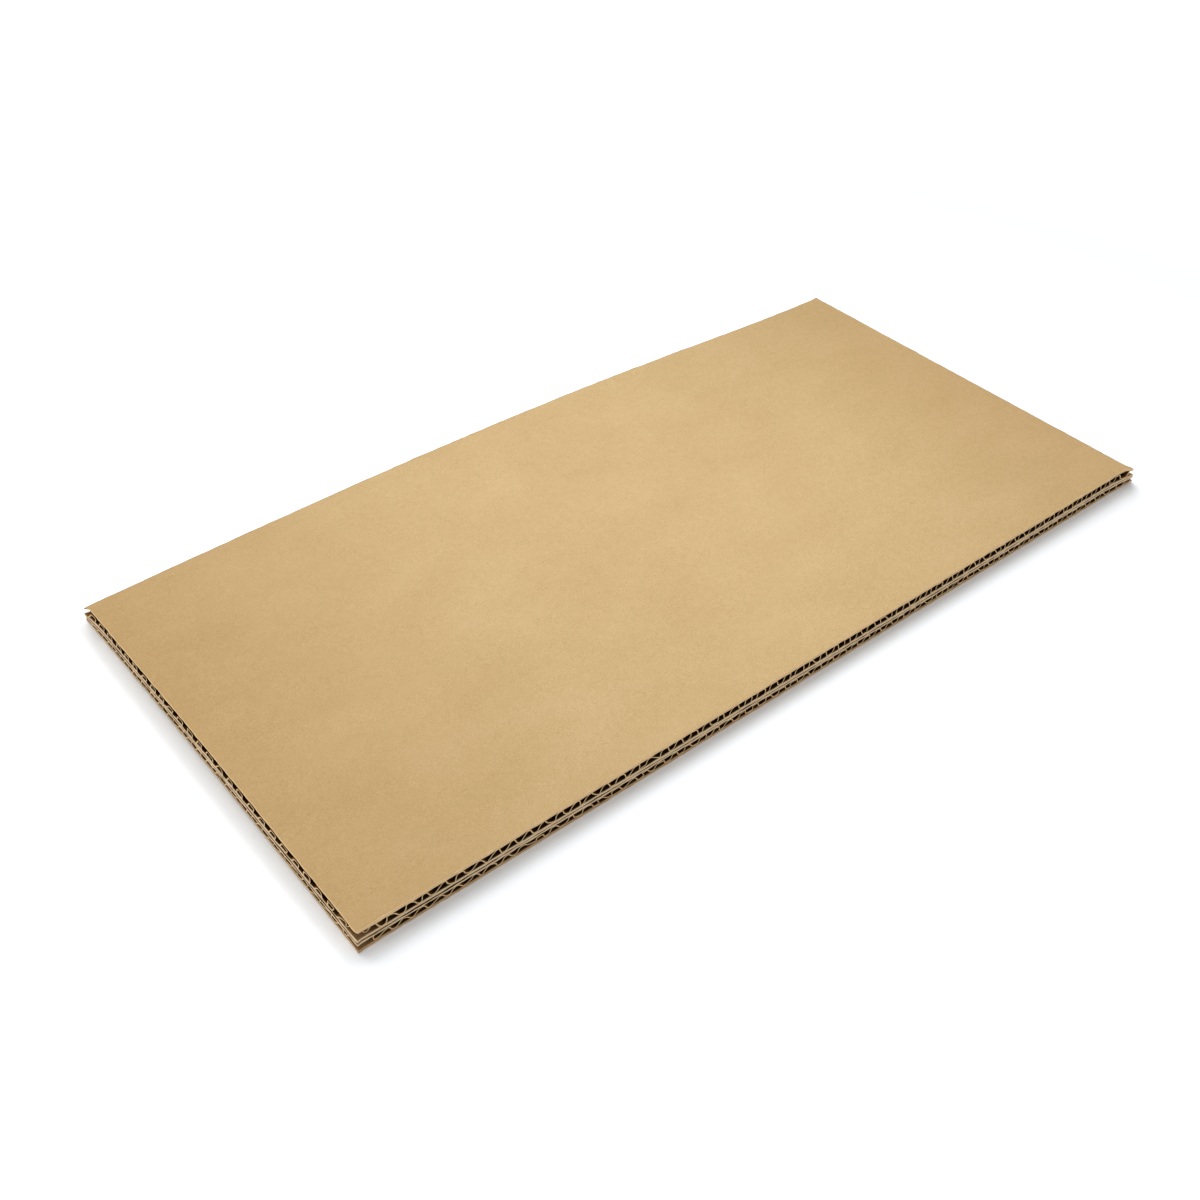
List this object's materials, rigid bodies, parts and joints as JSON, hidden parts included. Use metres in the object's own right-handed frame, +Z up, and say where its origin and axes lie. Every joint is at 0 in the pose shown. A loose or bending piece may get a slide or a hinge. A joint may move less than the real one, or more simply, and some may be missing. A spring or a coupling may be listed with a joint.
{
  "type": "corrugated cardboard sheet",
  "caption": "Flat rectangular sheet of double-wall corrugated cardboard with open fluted edges, bowed up a little along one long edge.",
  "frame": {"origin": "middle of the underside, at the height of the front edge's lower face", "axes": "+X along the length, +Y from the front edge that lies flat to the bowed back edge, +Z up through the papers"},
  "size_m": [0.522, 0.25, 0.0204],
  "materials": {
    "top_liner": "matte kraft paper",
    "inner_liner": "matte kraft paper",
    "fluting": "matte kraft paper",
    "bottom_liner": "matte kraft paper"
  },
  "bodies": {
    "root": {"bottom_liner": "bottom_liner", "lower_fluting": "fluting", "lower_inner_liner": "inner_liner", "upper_inner_liner": "inner_liner", "upper_fluting": "fluting", "top_liner": "top_liner"}
  },
  "joints": []
}
